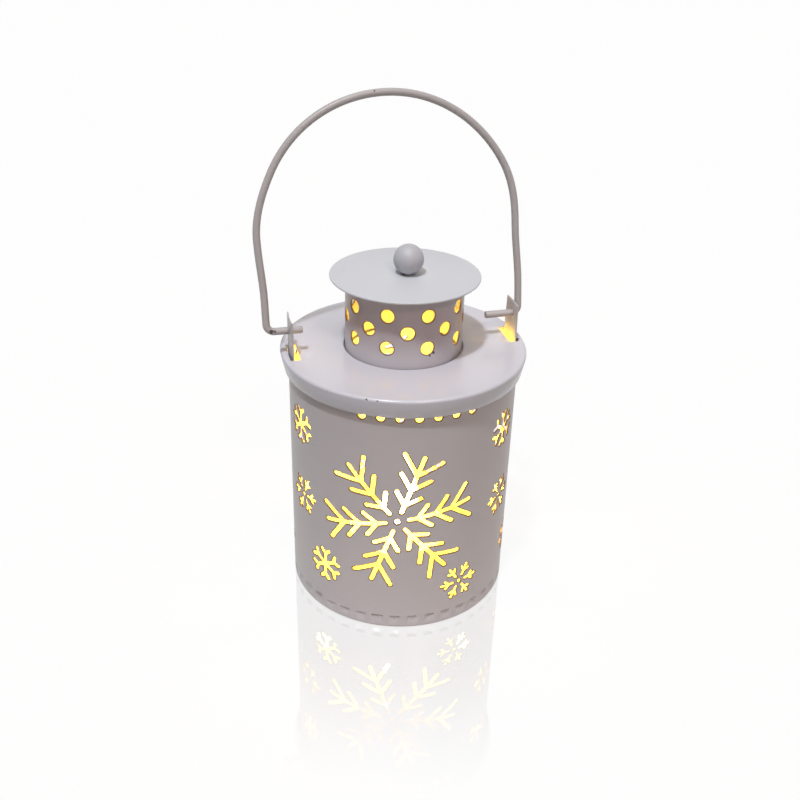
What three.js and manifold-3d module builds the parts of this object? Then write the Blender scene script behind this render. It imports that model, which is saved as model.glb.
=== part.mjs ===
// A punched-metal tealight lantern: a rolled wall with snowflake cut-outs and two ears, a lid that drops over
// the ears, a lift-out chimney with its cap and knob, a wire handle and the tealight inside.
// Millimetres, +Z up. The origin is under the middle of the base and the handle turns about a line along X.
// A heading is an angle round the lantern, from -Y (the front) towards +X.
import * as THREE from 'three';
import { mergeVertices } from 'three/addons/utils/BufferGeometryUtils.js';
import Module from 'manifold-3d';

const DEGREE = Math.PI / 180;

// Sheet metal and the play between pieces
const SHEET = 0.6;
const SEAT_GAP = 0.3;

// Wall: a rolled cylinder with a turned-in foot
const WALL_RADIUS = 40;
const WALL_HEIGHT = 92.6;
const FOOT_WIDTH = 2.6;
const FRONT_HEADING = -15.4 * DEGREE;

// Ears: tabs of the wall that pass through the lid and carry the handle
const EAR_BASE_WIDTH = 12;
const EAR_TIP_WIDTH = 10.8;
const EAR_HEIGHT = 13.7;
const EAR_HOLE_PLAY = 0.45;
const EAR_HOLE_RISE = 9.1;

// Vents in a row over each large snowflake, and a ring of dents that lock the base in, at one spacing
const RING_COUNT = 40;
const VENT_DIAMETER = 4;
const VENT_BELOW_RIM = 7.1;
const VENTS_BEFORE_FLAKE = 2;
const VENTS_AFTER_FLAKE = 4;
const DENT_PLAY = 0.3;
const DENT_DEPTH = 0.9;
const DENT_RADIUS = 1.8;

// Snowflakes, drawn as strokes along (from the centre) and across an arm
const ARM_COUNT = 6;
const TWIG_ANGLE = 46 * DEGREE;
const BIG_FLAKE = {
  stroke: 1.9,
  endSteps: 2,
  dotDiameter: 2.3,
  stemFrom: 4.15,
  stemTo: 26.3,
  twigs: [{ root: 7.1, length: 6 }, { root: 13.4, length: 7.3 }, { root: 19.3, length: 9.5 }],
};
const SPLIT_FLAKE = {
  stroke: 1.1,
  endSteps: 1,
  dotDiameter: 1.7,
  stemFrom: 2.6,
  stemTo: 7.1,
  twigs: [{ root: 4.2, length: 2.1 }],
};
const FORKED_FLAKE = {
  stroke: 1.35,
  endSteps: 1,
  hubDiameter: 3.4,
  twigs: [{ root: 4.4, length: 2.25 }],
};

// One third of the pattern: headings are from its big snowflake, levels run from the dents to the vents
const PATTERN_REPEATS = 3;
const PATTERN = [
  { flake: BIG_FLAKE, heading: 0, level: 0.512, turn: 11 },
  { flake: FORKED_FLAKE, heading: -58.5, level: 0.846, turn: 29 },
  { flake: SPLIT_FLAKE, heading: -57, level: 0.487, turn: 4 },
  { flake: FORKED_FLAKE, heading: -39.6, level: 0.182, turn: 29 },
  { flake: SPLIT_FLAKE, heading: 34.2, level: 0.132, turn: 4 },
];
const PUNCH_REACH = 4;

// Base: a shallow pan whose rim sits on the wall's foot and whose floor is level with it
const PAN_WALL_PLAY = 0.3;
const PAN_STEP_PLAY = 0.9;
const PAN_LIP_HEIGHT = 0.6;

// Lid: a pressed disc with a skirt, two slots for the ears and a collar for the chimney
const SKIRT_PLAY = 2.2;
const SKIRT_DEPTH = 6.8;
const LID_EDGE_RADIUS = 1;
const SLOT_PLAY = 0.45;
const SLOT_INNER_PLAY = 2;
const COLLAR_DEPTH = 3.5;
const COLLAR_PLAY = 0.4;
const LEDGE_REACH = 1;
const MOUTH_PLAY = 0.55;

// Chimney: a perforated tube turned in at the top, under a flat cap; the tealight goes in where it stands
const CHIMNEY_RISE = 24.7;
const CHIMNEY_FLANGE = 3;
const DOT_DIAMETER = 5.1;
const DOT_ROWS = 3;
const DOT_ROW_PITCH = 5.7;
const DOT_COLUMN_PITCH = 13.7;
const DOT_MIDDLE_RISE = 12.6;
const DOT_TURN = 4.4 * DEGREE;
const CAP_RADIUS = 25.6;
const CAP_THICKNESS = 0.8;

// Knob: a ball with a small flat, held by a screw from under the cap, whose hole is a little off the middle
const KNOB_RADIUS = 5.15;
const KNOB_ASIDE = 1;
const KNOB_HEADING = 75 * DEGREE;
const KNOB_FLAT_WIDTH = 0.2;
const SCREW_RADIUS = 1.5;
const SCREW_REACH = 5.5;
const SCREW_HEAD_RADIUS = 2.8;
const SCREW_HEAD_HEIGHT = 2;

// Handle: one bent wire, leaning back and slid along its axis until a leg meets an ear
const WIRE_DIAMETER = 2.5;
const LEG_PLAY = 0.4;
const LEG_LENGTH = 31.1;
const WIRE_BEND_RADIUS = 2.6;
const WIRE_END_REACH = 7.05;
const HANDLE_LEAN = 12 * DEGREE;

// Tealight: a metal cup of wax with a wick on a round foot
const CUP_RADIUS = 18.75;
const CUP_HEIGHT = 15;
const CUP_WALL = 0.5;
const WAX_BELOW_RIM = 1.5;
const MELT_DEPTH = 0.9;
const MELT_RADIUS = 11;
const WICK_RADIUS = 0.8;
const WICK_RISE = 6;
const WICK_FOOT_RADIUS = 6;
const WICK_FOOT_HEIGHT = 0.5;

// Facets
const ROUND_SIDES = 40;
const TUBE_SIDES = 30;
const CANDLE_SIDES = 24;
const KNOB_SIDES = 18;
const SMALL_SIDES = 12;
const WIRE_SIDES = 8;
const DOT_SIDES = 8;
const HOLE_SIDES = 6;
const EDGE_STEPS = 2;
const BEND_STEPS = 3;
const ARCH_STEPS = 24;
const GRID_STEPS = 1024;

// Places that follow from the sizes above
const wallInside = WALL_RADIUS - SHEET;
const facetTurn = FRONT_HEADING + Math.PI / RING_COUNT;
const axisHeight = WALL_HEIGHT + EAR_HOLE_RISE;
const lidUnder = WALL_HEIGHT + SEAT_GAP;
const lidTop = lidUnder + SHEET;
const skirtRadius = WALL_RADIUS + SKIRT_PLAY + SHEET;
const ledgeTop = lidTop - COLLAR_DEPTH + SHEET;
const chimneyFoot = ledgeTop + SEAT_GAP;
const chimneyTop = lidTop + CHIMNEY_RISE;
const capUnder = chimneyTop + SEAT_GAP;
const capTop = capUnder + CAP_THICKNESS;
const knobFlat = capTop + SEAT_GAP;
const knobX = KNOB_ASIDE * Math.sin(KNOB_HEADING);
const knobY = -KNOB_ASIDE * Math.cos(KNOB_HEADING);
const cupUnder = SHEET + SEAT_GAP;
const panRimUnder = SHEET + SEAT_GAP;
const panTop = panRimUnder + SHEET + PAN_LIP_HEIGHT;
const dentHeight = panTop + DENT_PLAY + DENT_RADIUS;
const ventHeight = WALL_HEIGHT - VENT_BELOW_RIM;
const patternFoot = dentHeight + DENT_RADIUS;
const patternTop = ventHeight - VENT_DIAMETER / 2;
const mouthRadius = CUP_RADIUS + MOUTH_PLAY;
const chimneyRadius = mouthRadius + LEDGE_REACH;
const screwHole = SCREW_RADIUS + SEAT_GAP;
const waxUnder = cupUnder + CUP_WALL + SEAT_GAP;
const waxTop = cupUnder + CUP_HEIGHT - WAX_BELOW_RIM;
const wickUnder = waxUnder + WICK_FOOT_HEIGHT + SEAT_GAP;

const wasm = await Module();
wasm.setup();

// A solid from a closed geometry: shared corners are merged and facets that shrink to a line are left out
function solid(geometry) {
  const bare = new THREE.BufferGeometry();
  bare.setAttribute('position', geometry.getAttribute('position'));
  bare.setIndex(geometry.getIndex());
  const merged = mergeVertices(bare);
  const corners = merged.getIndex().array;
  const facets = [];
  for (let i = 0; i < corners.length; i += 3) {
    const [a, b, c] = corners.slice(i, i + 3);
    if (a !== b && b !== c && c !== a) facets.push(a, b, c);
  }
  return new wasm.Manifold(new wasm.Mesh({
    numProp: 3,
    vertProperties: merged.getAttribute('position').array,
    triVerts: new Uint32Array(facets),
  }));
}

function geometryOf(shape) {
  const { vertProperties, triVerts } = shape.getMesh();
  const geometry = new THREE.BufferGeometry();
  geometry.setAttribute('position', new THREE.BufferAttribute(vertProperties, 3));
  geometry.setIndex(new THREE.BufferAttribute(triVerts, 1));
  geometry.computeVertexNormals();
  return geometry;
}

function united(shapes) {
  return shapes.reduce((sum, shape) => sum.add(shape));
}

// A profile of [radius, height] points turned about Z; a ring's profile ends where it starts
function revolved(profile, sides, turn = 0) {
  const points = profile.map(([radius, height]) => new THREE.Vector2(radius, height));
  return solid(new THREE.LatheGeometry(points, sides).rotateX(Math.PI / 2).rotateZ(turn));
}

function ring(profile, sides, turn = 0) {
  return revolved([...profile, profile[0]], sides, turn);
}

function arcPoints(x, y, radius, from, to, steps) {
  const arc = new THREE.EllipseCurve(x, y, radius, radius, from, to, to < from);
  return arc.getPoints(steps).map((point) => [point.x, point.y]);
}

// A round bar along X through the middle
function barAlongX(radius, length, sides) {
  return new THREE.CylinderGeometry(radius, radius, length, sides).rotateZ(Math.PI / 2);
}

// A cone that points at the axis, from its round end at one radius to its tip at a smaller one
function radialCone(heading, height, outer, size, inner) {
  const cone = new THREE.ConeGeometry(size, outer - inner, HOLE_SIDES);
  return solid(cone.translate(0, -(outer + inner) / 2, height).rotateZ(heading));
}

function circle(diameter, sides) {
  return arcPoints(0, 0, diameter / 2, 0, 2 * Math.PI, sides).slice(1);
}

// A flat outline in Y and Z, extruded both ways along X
function slabAlongX(outline, halfLength) {
  const shape = new THREE.Shape(outline.map(([y, z]) => new THREE.Vector2(y, z)));
  const slab = new THREE.ExtrudeGeometry(shape, { depth: 2 * halfLength, bevelEnabled: false });
  return solid(slab.translate(0, 0, -halfLength).rotateX(Math.PI / 2).rotateZ(Math.PI / 2));
}

// The end of a stroke, from its back edge round to its front edge
function strokeEnd({ stroke, endSteps }, x, y, angle) {
  return arcPoints(x, y, stroke / 2, angle + Math.PI / 2, angle - Math.PI / 2, endSteps);
}

// Half of an arm's outline, from the middle outwards: a notch behind each twig, its end, a notch before it
function armSide(flake) {
  const half = flake.stroke / 2;
  const lean = Math.tan(TWIG_ANGLE / 2);
  return flake.twigs.flatMap(({ root, length }) => [
    [root - half * lean, half],
    ...strokeEnd(flake, root + length * Math.cos(TWIG_ANGLE), length * Math.sin(TWIG_ANGLE), TWIG_ANGLE),
    [root + half / lean, half],
  ]);
}

function mirrored(points) {
  return points.map(([x, y]) => [x, -y]).reverse();
}

// An arm that stands alone, rounded at both ends of its stem
function loneArm(flake) {
  const side = armSide(flake);
  const start = strokeEnd(flake, flake.stemFrom, 0, -Math.PI);
  return [...start, ...side, ...strokeEnd(flake, flake.stemTo, 0, 0), ...mirrored(side)];
}

// An arm that grows out of a hub and ends in a fork
function forkedArm(flake) {
  const half = flake.stroke / 2;
  const foot = Math.sqrt((flake.hubDiameter / 2) ** 2 - half ** 2);
  const side = [[foot, half], ...armSide(flake).slice(0, -1)];
  const crotch = [flake.twigs[0].root + half / Math.sin(TWIG_ANGLE), 0];
  return [...side, crotch, ...mirrored(side)];
}

function turned(points, angle) {
  const cos = Math.cos(angle);
  const sin = Math.sin(angle);
  return points.map(([x, y]) => [x * cos - y * sin, x * sin + y * cos]);
}

// The outlines to punch for one snowflake: a dot and its arms, or all arms round a hub in one
function flakeOutlines(flake) {
  const arm = flake.hubDiameter ? forkedArm(flake) : loneArm(flake);
  const arms = [];
  for (let i = 0; i < ARM_COUNT; i += 1) {
    arms.push(turned(arm, (-i * 2 * Math.PI) / ARM_COUNT));
  }
  if (flake.hubDiameter) return [arms.flat()];
  return [circle(flake.dotDiameter, HOLE_SIDES), ...arms];
}

// Corners rounded to a fine grid, where sums are exact, so that every side of a punch is truly flat
function onGrid(corner) {
  return corner.multiplyScalar(GRID_STEPS).round().divideScalar(GRID_STEPS);
}

// A punch through a rolled sheet: its outline lies on the sheet and its sides are square to it at its middle
function sheetPunch(outline, radius, heading, height) {
  const shape = new THREE.Shape(outline.map(([x, y]) => new THREE.Vector2(x, y)));
  const punch = new THREE.ExtrudeGeometry(shape, { depth: 2, bevelEnabled: false });
  punch.translate(0, 0, -1).computeBoundingBox();
  const { min, max } = punch.boundingBox;
  const middle = heading + (min.x + max.x) / 2 / radius;
  const reach = onGrid(new THREE.Vector3(Math.sin(middle), -Math.cos(middle), 0).multiplyScalar(PUNCH_REACH));
  const position = punch.getAttribute('position');
  const corner = new THREE.Vector3();
  for (let i = 0; i < position.count; i += 1) {
    const angle = heading + position.getX(i) / radius;
    corner.set(radius * Math.sin(angle), -radius * Math.cos(angle), height + position.getY(i));
    onGrid(corner).addScaledVector(reach, position.getZ(i));
    position.setXYZ(i, corner.x, corner.y, corner.z);
  }
  return solid(punch);
}

function thirds() {
  const pitch = (2 * Math.PI) / PATTERN_REPEATS;
  return Array.from({ length: PATTERN_REPEATS }, (_, i) => FRONT_HEADING + i * pitch);
}

function snowflakes() {
  const cuts = [];
  for (const third of thirds()) {
    for (const { flake, heading, level, turn } of PATTERN) {
      const height = patternFoot + level * (patternTop - patternFoot);
      for (const outline of flakeOutlines(flake)) {
        const aligned = turned(outline, turn * DEGREE);
        cuts.push(sheetPunch(aligned, WALL_RADIUS, third + heading * DEGREE, height));
      }
    }
  }
  return united(cuts);
}

function vents() {
  const cuts = [];
  for (const third of thirds()) {
    for (let i = -VENTS_BEFORE_FLAKE; i <= VENTS_AFTER_FLAKE; i += 1) {
      const heading = third + (i * 2 * Math.PI) / RING_COUNT;
      cuts.push(sheetPunch(circle(VENT_DIAMETER, DOT_SIDES), WALL_RADIUS, heading, ventHeight));
    }
  }
  return united(cuts);
}

function dentRing(makeOne) {
  const items = [];
  for (let i = 0; i < RING_COUNT; i += 1) {
    items.push(makeOne(FRONT_HEADING + (i * 2 * Math.PI) / RING_COUNT));
  }
  return united(items);
}

function bodyWall() {
  const earTop = WALL_HEIGHT + EAR_HEIGHT;
  const beyond = 2 * WALL_RADIUS;
  const blank = ring([
    [WALL_RADIUS, 0],
    [WALL_RADIUS, earTop + SHEET],
    [wallInside, earTop + SHEET],
    [wallInside, SHEET],
    [WALL_RADIUS - FOOT_WIDTH, SHEET],
    [WALL_RADIUS - FOOT_WIDTH, 0],
  ], RING_COUNT, facetTurn);
  const sideView = slabAlongX([
    [-beyond, -SHEET],
    [beyond, -SHEET],
    [beyond, WALL_HEIGHT],
    [EAR_BASE_WIDTH / 2, WALL_HEIGHT],
    [EAR_TIP_WIDTH / 2, earTop],
    [-EAR_TIP_WIDTH / 2, earTop],
    [-EAR_BASE_WIDTH / 2, WALL_HEIGHT],
    [-beyond, WALL_HEIGHT],
  ], beyond);
  const middle = WALL_RADIUS - SHEET / 2;
  const dentBacks = dentRing((heading) => radialCone(
    heading, dentHeight, middle, DENT_RADIUS, wallInside - DENT_DEPTH));
  const dentPits = dentRing((heading) => radialCone(
    heading, dentHeight, WALL_RADIUS + SHEET, DENT_RADIUS + SHEET, WALL_RADIUS - DENT_DEPTH));
  const earHole = WIRE_DIAMETER / 2 + EAR_HOLE_PLAY;
  const earHoles = solid(barAlongX(earHole, 2 * beyond, SMALL_SIDES).translate(0, 0, axisHeight));
  const cuts = united([dentPits, vents(), snowflakes(), earHoles]);
  return blank.intersect(sideView).add(dentBacks).subtract(cuts);
}

function basePan() {
  const floorRadius = WALL_RADIUS - FOOT_WIDTH - PAN_STEP_PLAY;
  const rimRadius = wallInside - PAN_WALL_PLAY;
  return revolved([
    [0, 0],
    [floorRadius, 0],
    [floorRadius, panRimUnder],
    [rimRadius, panRimUnder],
    [rimRadius, panTop],
    [rimRadius - SHEET, panTop],
    [rimRadius - SHEET, panRimUnder + SHEET],
    [floorRadius - SHEET, panRimUnder + SHEET],
    [floorRadius - SHEET, SHEET],
    [0, SHEET],
  ], TUBE_SIDES);
}

function lid() {
  const edge = skirtRadius - LID_EDGE_RADIUS;
  const edgeHeight = lidTop - LID_EDGE_RADIUS;
  const skirtFoot = lidTop - SKIRT_DEPTH;
  const collarRadius = chimneyRadius + COLLAR_PLAY;
  const shell = ring([
    [mouthRadius, ledgeTop - SHEET],
    [collarRadius + SHEET, ledgeTop - SHEET],
    [collarRadius + SHEET, lidUnder],
    ...arcPoints(edge, edgeHeight, LID_EDGE_RADIUS - SHEET, Math.PI / 2, 0, EDGE_STEPS),
    [skirtRadius - SHEET, skirtFoot],
    [skirtRadius, skirtFoot],
    ...arcPoints(edge, edgeHeight, LID_EDGE_RADIUS, 0, Math.PI / 2, EDGE_STEPS),
    [collarRadius, lidTop],
    [collarRadius, ledgeTop],
    [mouthRadius, ledgeTop],
  ], ROUND_SIDES);
  const earInside = Math.sqrt(wallInside ** 2 - (EAR_BASE_WIDTH / 2) ** 2);
  const slotInside = earInside - SLOT_INNER_PLAY;
  const slotOutside = WALL_RADIUS + SLOT_PLAY;
  const slotLength = EAR_BASE_WIDTH + 2 * SLOT_PLAY;
  const slots = [0, Math.PI].map((turn) => {
    const slot = new THREE.BoxGeometry(slotOutside - slotInside, slotLength, 2 * COLLAR_DEPTH);
    return solid(slot.translate((slotInside + slotOutside) / 2, 0, lidTop).rotateZ(turn));
  });
  return shell.subtract(united(slots));
}

function chimney() {
  const inside = chimneyRadius - SHEET;
  const tube = ring([
    [chimneyRadius, chimneyFoot],
    [chimneyRadius, chimneyTop],
    [inside - CHIMNEY_FLANGE, chimneyTop],
    [inside - CHIMNEY_FLANGE, chimneyTop - SHEET],
    [inside, chimneyTop - SHEET],
    [inside, chimneyFoot],
  ], TUBE_SIDES);
  const columns = Math.floor((2 * Math.PI * chimneyRadius) / DOT_COLUMN_PITCH);
  const pitch = DOT_COLUMN_PITCH / chimneyRadius;
  const dots = [];
  for (let row = 0; row < DOT_ROWS; row += 1) {
    const fromMiddle = row - (DOT_ROWS - 1) / 2;
    const height = lidTop + DOT_MIDDLE_RISE + fromMiddle * DOT_ROW_PITCH;
    for (let column = 0; column < columns; column += 1) {
      const steps = column - (columns - 1) / 2 + (fromMiddle % 2) / 2;
      const heading = FRONT_HEADING + DOT_TURN + steps * pitch;
      dots.push(sheetPunch(circle(DOT_DIAMETER, DOT_SIDES), chimneyRadius, heading, height));
    }
  }
  return tube.subtract(united(dots));
}

function capDisc() {
  const profile = [[0, capUnder], [CAP_RADIUS, capUnder], [CAP_RADIUS, capTop], [0, capTop]];
  const disc = revolved(profile, ROUND_SIDES);
  const hole = new THREE.CylinderGeometry(screwHole, screwHole, 4 * CAP_THICKNESS, SMALL_SIDES);
  return disc.subtract(solid(hole.rotateX(Math.PI / 2).translate(knobX, knobY, capTop)));
}

function knobBall() {
  const boreTop = knobFlat + SCREW_REACH + SEAT_GAP;
  const start = -Math.acos((screwHole + KNOB_FLAT_WIDTH) / KNOB_RADIUS);
  const centre = knobFlat - KNOB_RADIUS * Math.sin(start);
  return revolved([
    [0, boreTop],
    [screwHole, boreTop],
    [screwHole, knobFlat],
    ...arcPoints(0, centre, KNOB_RADIUS, start, Math.PI / 2, KNOB_SIDES / 2),
  ], KNOB_SIDES);
}

function knobScrew() {
  const headTop = capUnder - SEAT_GAP;
  return revolved([
    [0, headTop - SCREW_HEAD_HEIGHT],
    [SCREW_HEAD_RADIUS, headTop - SCREW_HEAD_HEIGHT],
    [SCREW_HEAD_RADIUS, headTop],
    [SCREW_RADIUS, headTop],
    [SCREW_RADIUS, knobFlat + SCREW_REACH],
    [0, knobFlat + SCREW_REACH],
  ], SMALL_SIDES);
}

// A centre line made of straight and round runs, each taken in its own number of steps
class WireLine extends THREE.Curve {
  constructor(runs) {
    super();
    this.runs = runs;
    this.steps = runs.reduce((sum, run) => sum + run.steps, 0);
  }

  getPoint(t) {
    let left = t * this.steps;
    let index = 0;
    while (index < this.runs.length - 1 && left > this.runs[index].steps) {
      left -= this.runs[index].steps;
      index += 1;
    }
    const { x, y } = this.runs[index].curve.getPoint(left / this.runs[index].steps);
    return new THREE.Vector3(x, 0, y);
  }

  getUtoTmapping(u) {
    return u;
  }
}

function handleWire() {
  const half = skirtRadius + LEG_PLAY + WIRE_DIAMETER / 2;
  const end = wallInside - WIRE_END_REACH;
  const bend = WIRE_BEND_RADIUS;
  const line = (x0, y0, x1, y1) => ({
    curve: new THREE.LineCurve(new THREE.Vector2(x0, y0), new THREE.Vector2(x1, y1)),
    steps: 1,
  });
  const arc = (x, y, radius, from, to, steps) => ({
    curve: new THREE.EllipseCurve(x, y, radius, radius, from, to, true),
    steps,
  });
  const wire = new WireLine([
    line(-end, 0, bend - half, 0),
    arc(bend - half, bend, bend, 1.5 * Math.PI, Math.PI, BEND_STEPS),
    line(-half, bend, -half, LEG_LENGTH),
    arc(0, LEG_LENGTH, half, Math.PI, 0, ARCH_STEPS),
    line(half, LEG_LENGTH, half, bend),
    arc(half - bend, bend, bend, 0, -Math.PI / 2, BEND_STEPS),
    line(half - bend, 0, end, 0),
  ]);
  const section = new THREE.Shape().absarc(0, 0, WIRE_DIAMETER / 2, 0, 2 * Math.PI);
  return solid(new THREE.ExtrudeGeometry(section, {
    steps: wire.steps,
    curveSegments: WIRE_SIDES / 2,
    extrudePath: wire,
    bevelEnabled: false,
  }));
}

function tealightCup() {
  return revolved([
    [0, cupUnder],
    [CUP_RADIUS, cupUnder],
    [CUP_RADIUS, cupUnder + CUP_HEIGHT],
    [CUP_RADIUS - CUP_WALL, cupUnder + CUP_HEIGHT],
    [CUP_RADIUS - CUP_WALL, cupUnder + CUP_WALL],
    [0, cupUnder + CUP_WALL],
  ], CANDLE_SIDES);
}

function tealightWax() {
  const outside = CUP_RADIUS - CUP_WALL - SEAT_GAP;
  const footRoom = WICK_FOOT_RADIUS + SEAT_GAP;
  const bore = WICK_RADIUS + SEAT_GAP;
  return ring([
    [bore, wickUnder],
    [footRoom, wickUnder],
    [footRoom, waxUnder],
    [outside, waxUnder],
    [outside, waxTop],
    [MELT_RADIUS, waxTop - MELT_DEPTH],
    [bore, waxTop - MELT_DEPTH],
  ], CANDLE_SIDES);
}

function upright(radius, from, to) {
  return revolved([[0, from], [radius, from], [radius, to], [0, to]], SMALL_SIDES);
}

function piece(name, shape, color, roughness, metalness) {
  const finish = new THREE.MeshStandardMaterial({ color, roughness, metalness });
  const mesh = new THREE.Mesh(geometryOf(shape), finish);
  mesh.name = name;
  return mesh;
}

function painted(name, shape) {
  return piece(name, shape, 0xd6d1d4, 0.42, 0);
}

const body = new THREE.Group();
body.add(painted('body_wall', bodyWall()), painted('base_pan', basePan()));

const knob = new THREE.Group();
knob.add(painted('knob_ball', knobBall()), piece('knob_screw', knobScrew(), 0xb9babd, 0.35, 1));
knob.position.set(knobX, knobY, 0);

const chimneyTopPieces = new THREE.Group();
chimneyTopPieces.add(painted('chimney', chimney()), painted('cap_disc', capDisc()), knob);

const lidPieces = new THREE.Group();
lidPieces.add(painted('lid', lid()), chimneyTopPieces);

const handle = painted('handle_wire', handleWire());
handle.position.set(WALL_RADIUS + SEAT_GAP - skirtRadius - LEG_PLAY, 0, axisHeight);
handle.rotation.x = -HANDLE_LEAN;

const tealight = new THREE.Group();
tealight.add(
  piece('tealight_cup', tealightCup(), 0xc9cacb, 0.3, 1),
  piece('tealight_wax', tealightWax(), 0xf4efe2, 0.5, 0),
  piece('wick_foot', upright(WICK_FOOT_RADIUS, waxUnder, waxUnder + WICK_FOOT_HEIGHT), 0xb9babd, 0.4, 1),
  piece('wick', upright(WICK_RADIUS, wickUnder, waxTop + WICK_RISE), 0x4a4038, 0.9, 0),
);

const lantern = new THREE.Group();
lantern.add(body, lidPieces, handle, tealight);
export default lantern;
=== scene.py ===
# %% [markdown]
# # A punched metal lantern
# This lesson dresses a small sheet-metal lantern: a wall punched with snowflakes and rolled into a cylinder,
# a pressed lid, a lift-out chimney with a cap and a ball knob, a wire handle and a lit tealight inside.
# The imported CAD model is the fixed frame. Every piece made here stands where its CAD solid stands, rides on
# the same body, and shows what a quick solid leaves out: rolled curves, soft edges, presses and paint.

# %% Load the frame
import math

import bmesh
import bpy
from mathutils import Matrix, Vector


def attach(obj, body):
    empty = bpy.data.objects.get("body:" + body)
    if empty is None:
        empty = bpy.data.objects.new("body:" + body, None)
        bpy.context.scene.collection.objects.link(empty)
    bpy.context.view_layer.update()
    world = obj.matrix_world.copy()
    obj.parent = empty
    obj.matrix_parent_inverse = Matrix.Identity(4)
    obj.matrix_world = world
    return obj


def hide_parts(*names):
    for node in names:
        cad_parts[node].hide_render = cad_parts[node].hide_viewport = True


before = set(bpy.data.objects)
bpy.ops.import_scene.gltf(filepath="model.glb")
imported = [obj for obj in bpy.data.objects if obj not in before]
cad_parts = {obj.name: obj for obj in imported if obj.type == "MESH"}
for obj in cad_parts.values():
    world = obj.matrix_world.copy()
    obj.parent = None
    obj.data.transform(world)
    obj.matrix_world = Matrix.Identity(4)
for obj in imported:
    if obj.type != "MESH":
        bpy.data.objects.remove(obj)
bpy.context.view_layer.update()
MM = 0.001
bpy.context.scene.view_settings.view_transform = "Standard"

# %% [markdown]
# ## Camera
# The photograph looks down on the lantern from a little to its left. The camera could be placed by eye, but
# the rim of the lid, the foot of the wall and the handle fix it well, so it is set from their fit: a place,
# a heading, a pitch, a slight roll, and the focal length in pixels of a picture 800 pixels wide.

# %% Camera
PICTURE_PIXELS = 800
FOCAL_PIXELS = 984.4
CAMERA_PLACE = Vector((-79.7, -300.6, 240.0)) * MM
CAMERA_HEADING = math.radians(-14.73)
CAMERA_PITCH = math.radians(28.56)
CAMERA_ROLL = math.radians(1.53)

bpy.ops.object.select_all(action="DESELECT")
bpy.ops.object.camera_add()
camera = bpy.context.object
camera.matrix_world = (
    Matrix.Translation(CAMERA_PLACE)
    @ Matrix.Rotation(CAMERA_HEADING, 4, "Z")
    @ Matrix.Rotation(math.pi / 2 - CAMERA_PITCH, 4, "X")
    @ Matrix.Rotation(CAMERA_ROLL, 4, "Z")
)
camera.data.lens = FOCAL_PIXELS / PICTURE_PIXELS * camera.data.sensor_width
camera.data.clip_start = MM
bpy.context.scene.camera = camera
print("camera lens", round(camera.data.lens, 2), "mm")

# %% [markdown]
# ## Shader arithmetic
# A finish is mostly sums and products of noise, distances and masks. Laying Math nodes by hand hides that
# arithmetic, so one small class wraps a node's output and lets Python expressions add the Math nodes.
# Every other node comes from one method, which takes its type, its settings and what goes into its sockets.


# %% Links and finishes
class Link:
    """One output of a node. Arithmetic with links and numbers adds Math nodes."""

    def __init__(self, finish, socket):
        self.finish = finish
        self.socket = socket

    def math(self, operation, first, second):
        return self.finish.node("Math", {"operation": operation}, {0: first, 1: second})

    def __add__(self, other):
        return self.math("ADD", self, other)

    def __radd__(self, other):
        return self.math("ADD", other, self)

    def __sub__(self, other):
        return self.math("SUBTRACT", self, other)

    def __rsub__(self, other):
        return self.math("SUBTRACT", other, self)

    def __mul__(self, other):
        return self.math("MULTIPLY", self, other)

    def __rmul__(self, other):
        return self.math("MULTIPLY", other, self)

    def largest(self, other):
        return self.math("MAXIMUM", self, other)


class Finish:
    """A node tree being filled, of a material or of the world."""

    def __init__(self, owner):
        owner.use_nodes = True
        self.owner = owner
        self.tree = owner.node_tree
        self.tree.nodes.clear()

    def node(self, kind, settings=None, sockets=None, out=0):
        new = self.tree.nodes.new("ShaderNode" + kind)
        for name, value in (settings or {}).items():
            if name == "stops":
                while len(new.color_ramp.elements) < len(value):
                    new.color_ramp.elements.new(1)
                for element, (place, colour) in zip(new.color_ramp.elements, value):
                    element.position = place
                    element.color = (*colour, 1)
            else:
                setattr(new, name, value)
        for name, value in (sockets or {}).items():
            if isinstance(value, Link):
                self.tree.links.new(value.socket, new.inputs[name])
            else:
                new.inputs[name].default_value = value
        return Link(self, new.outputs[out]) if new.outputs else None

    def place(self):
        return self.node("TexCoord", out="Object")

    def noise(self, scale, detail=2.0):
        return self.node("TexNoise", None, {"Vector": self.place(), "Scale": scale, "Detail": detail})

    def ramp(self, value, low, high):
        """0 at low, 1 at high, with a soft step between; low may be the larger number."""
        sockets = {"Value": value, "From Min": low, "From Max": high}
        return self.node("MapRange", {"interpolation_type": "SMOOTHSTEP"}, sockets)

    def tint(self, mask, colour, other):
        """The first colour where the mask is 0, the other where it is 1."""
        ends = [end if isinstance(end, Link) else (*end, 1) for end in (colour, other)]
        return self.node("Mix", {"data_type": "RGBA"}, {0: mask, 6: ends[0], 7: ends[1]}, out=2)

    def distance(self, point):
        return self.node("VectorMath", {"operation": "DISTANCE"}, {0: self.place(), 1: point}, out="Value")

    def height(self):
        return self.node("SeparateXYZ", None, {0: self.place()}, out="Z")

    def bump(self, value, strength, depth):
        return self.node("Bump", None, {"Height": value, "Strength": strength, "Distance": depth})

    def coat(self, sockets):
        """Ends a material in one Principled shader."""
        shader = self.node("BsdfPrincipled", None, sockets)
        self.node("OutputMaterial", None, {"Surface": shader})
        return self.owner


def new_finish(name):
    return Finish(bpy.data.materials.new(name))


print("shader arithmetic ready")
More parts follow.
